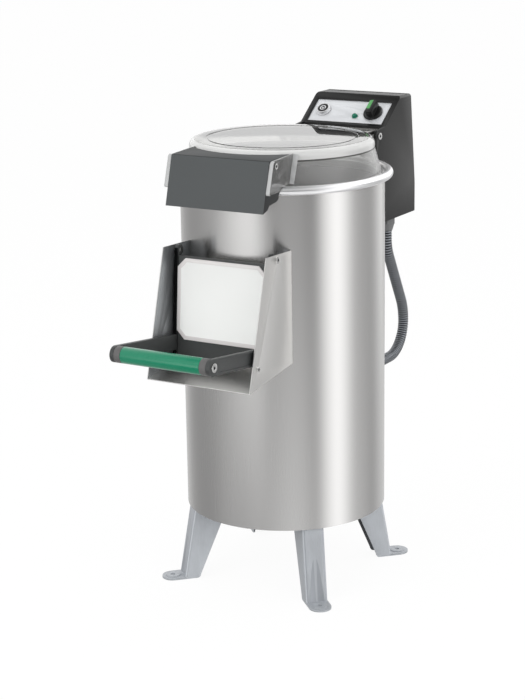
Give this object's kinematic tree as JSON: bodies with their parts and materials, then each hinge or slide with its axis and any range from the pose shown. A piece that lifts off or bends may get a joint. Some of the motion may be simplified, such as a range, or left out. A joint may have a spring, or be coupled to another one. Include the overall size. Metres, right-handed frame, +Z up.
{
  "type": "electric potato peeler",
  "caption": "Floor-standing drum potato peeler with hinged clear lid, front discharge door and chute, rear control box, abrasive rotor and channel legs.",
  "frame": {"origin": "on the floor at the centre of the four foot holes, on the drum axis", "axes": "+Z up along the drum axis, -Y to the front where the chute is, +X to the right as seen from the front"},
  "size_m": [0.432, 0.8521, 0.9315],
  "materials": {
    "stainless_brushed": "brushed stainless sheet",
    "stainless_bright": "polished stainless",
    "leg_steel": "matt stainless sheet",
    "zinc_steel": "zinc plated",
    "bearing_steel": "ground steel",
    "cast_housing": "painted casting",
    "motor_aluminium": "ribbed aluminium housing",
    "abrasive_grit": "coarse abrasive coating",
    "black_rubber": "black rubber",
    "grey_pipe": "light grey plastic",
    "grey_conduit": "corrugated conduit",
    "dark_housing": "fine-grained dark grey paint",
    "door_plastic": "dark grey moulding",
    "slate_plastic": "slate grey moulding",
    "white_panel": "white panel with a grey edge",
    "green_grip": "green moulding",
    "grey_caps": "warm grey moulding",
    "clear_lid": "clear polycarbonate",
    "fascia_metal": "fine satin metal plate",
    "black_plastic": "black moulding",
    "green_lens": "green lens",
    "green_pointer": "green inlay",
    "cream_plastic": "natural plastic"
  },
  "bodies": {
    "frame": {"drum_shell": "stainless_brushed", "rim_ring": "stainless_bright", "abrasive_liner": "abrasive_grit", "chamber_floor": "stainless_brushed", "base_plate": "stainless_brushed", "leg_front_left": "leg_steel", "leg_front_right": "leg_steel", "leg_back_left": "leg_steel", "leg_back_right": "leg_steel", "frame_bolts": "zinc_steel", "bearing_housing": "cast_housing", "shaft_bearings": "bearing_steel", "shaft_seal": "black_rubber", "drive_belt": "black_rubber", "motor_body": "motor_aluminium", "motor_fan_cover": "dark_housing", "drain_pipe": "grey_pipe", "drain_grommet": "black_rubber", "discharge_frame": "stainless_brushed", "chute": "stainless_brushed", "chute_screws": "stainless_bright", "hinge_pins": "stainless_bright", "control_box_cover": "dark_housing", "control_box_plate": "stainless_brushed", "fascia_plate": "fascia_metal", "button_bezel": "stainless_bright", "button_contact_block": "black_plastic", "signal_lamp": "green_lens", "timer_body": "black_plastic", "terminal_block": "cream_plastic", "water_valve": "cream_plastic", "spray_nozzle": "stainless_bright", "hose_conduit": "grey_conduit", "hose_glands": "grey_pipe", "supply_gland": "black_plastic", "lid_sensor": "black_plastic"},
    "rotor": {"drive_shaft": "bearing_steel", "abrasive_rotor": "abrasive_grit", "rotor_cap": "stainless_bright", "driven_pulley": "cast_housing"},
    "motor_rotor": {"motor_shaft": "bearing_steel", "motor_pulley": "cast_housing"},
    "door": {"discharge_door": "door_plastic", "door_face_panel": "white_panel", "door_seal": "black_rubber", "handle_grip": "green_grip", "handle_caps": "grey_caps", "handle_rod": "stainless_bright"},
    "lid": {"lid_dome": "clear_lid", "latch_bracket_left": "clear_lid", "latch_bracket_right": "clear_lid", "latch_pivot_screws": "stainless_bright", "hinge_arm_left": "stainless_brushed", "hinge_arm_right": "stainless_brushed", "lid_magnet": "black_plastic"},
    "lid_lever": {"lid_handle": "slate_plastic", "lid_catch": "black_plastic"},
    "button": {"stop_button": "black_plastic"},
    "knob": {"timer_knob": "black_plastic", "knob_pointer": "green_pointer"}
  },
  "joints": [
    {"name": "lid_hinge", "type": "hinge", "parent": "frame", "child": "lid", "pos_m": [0, 0.225, 0.862], "axis": [-1, 0, 0], "range_deg": [0, 95]},
    {"name": "lever_pivot", "type": "hinge", "parent": "lid", "child": "lid_lever", "pos_m": [0, -0.214, 0.867], "axis": [-1, 0, 0], "range_deg": [0, 18], "stiffness_Nm_per_rad": 1},
    {"name": "door_hinge", "type": "hinge", "parent": "frame", "child": "door", "pos_m": [0, -0.22, 0.695], "axis": [-1, 0, 0], "range_deg": [0, 60]},
    {"name": "button_press", "type": "slide", "parent": "frame", "child": "button", "axis": [0, 0.5973, -0.802], "range_m": [0, 0.004], "stiffness_N_per_m": 400},
    {"name": "timer_turn", "type": "hinge", "parent": "frame", "child": "knob", "pos_m": [0.0545, 0.28297, 0.9002], "axis": [0, 0.5973, -0.802], "range_deg": [0, 300]},
    {"name": "rotor_spin", "type": "hinge", "parent": "frame", "child": "rotor", "pos_m": [0, 0, 0.3], "axis": [0, 0, 1], "continuous": true},
    {"name": "motor_spin", "type": "hinge", "parent": "frame", "child": "motor_rotor", "pos_m": [0.112, 0, 0.18], "axis": [0, 0, 1], "continuous": true}
  ],
  "couplings": [
    {"joint": "motor_spin", "follows": "rotor_spin", "ratio": 4}
  ]
}
